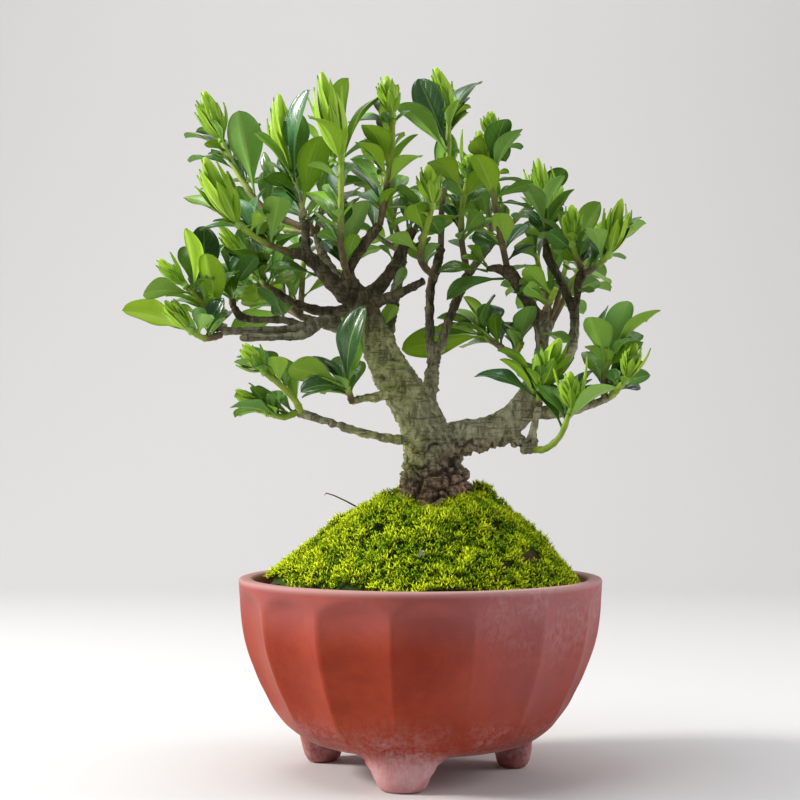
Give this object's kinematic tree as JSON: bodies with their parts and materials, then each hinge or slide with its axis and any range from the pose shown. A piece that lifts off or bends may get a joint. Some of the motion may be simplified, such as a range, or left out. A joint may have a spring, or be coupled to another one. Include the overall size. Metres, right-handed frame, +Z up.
{
  "type": "potted gardenia",
  "caption": "Miniature gardenia tree with leafy shoots, standing in a mossy mound of soil in a fluted clay bowl on feet.",
  "frame": {"origin": "centre of the bounding box at the height of the feet's undersides", "axes": "+Z up along the plant's height; the side seen in the picture faces -Y, with +X to its right"},
  "size_m": [0.259, 0.1972, 0.3593],
  "materials": {
    "clay": "matte",
    "soil": "matte",
    "moss": "matte",
    "bark": "matte",
    "leaf": "satin",
    "shoot": "satin"
  },
  "bodies": {
    "root": {"pot": "clay", "soil": "soil", "moss": "moss", "wood": "bark", "spray_01": "leaf", "bud_01": "shoot", "spray_02": "leaf", "bud_02": "shoot", "spray_03": "leaf", "bud_03": "shoot", "spray_04": "leaf", "bud_04": "shoot", "spray_05": "leaf", "bud_05": "shoot", "spray_06": "leaf", "bud_06": "shoot", "spray_07": "leaf", "bud_07": "shoot", "spray_08": "leaf", "bud_08": "shoot", "spray_09": "leaf", "bud_09": "shoot", "spray_10": "leaf", "bud_10": "shoot", "spray_11": "leaf", "bud_11": "shoot", "spray_12": "leaf", "bud_12": "shoot", "spray_13": "leaf", "spray_14": "leaf", "spray_15": "leaf", "spray_16": "leaf", "spray_17": "leaf", "bud_17": "shoot", "spray_18": "leaf", "bud_18": "shoot", "spray_19": "leaf", "bud_19": "shoot", "spray_20": "leaf", "spray_21": "leaf", "bud_21": "shoot", "spray_22": "leaf", "bud_22": "shoot", "spray_23": "leaf", "spray_24": "leaf", "bud_24": "shoot", "spray_25": "leaf", "bud_25": "shoot", "spray_26": "leaf", "bud_26": "shoot", "spray_27": "leaf", "spray_28": "leaf", "bud_28": "shoot", "spray_29": "leaf", "bud_29": "shoot", "spray_30": "leaf", "bud_30": "shoot", "spray_31": "leaf", "bud_31": "shoot", "spray_32": "leaf"}
  },
  "joints": []
}
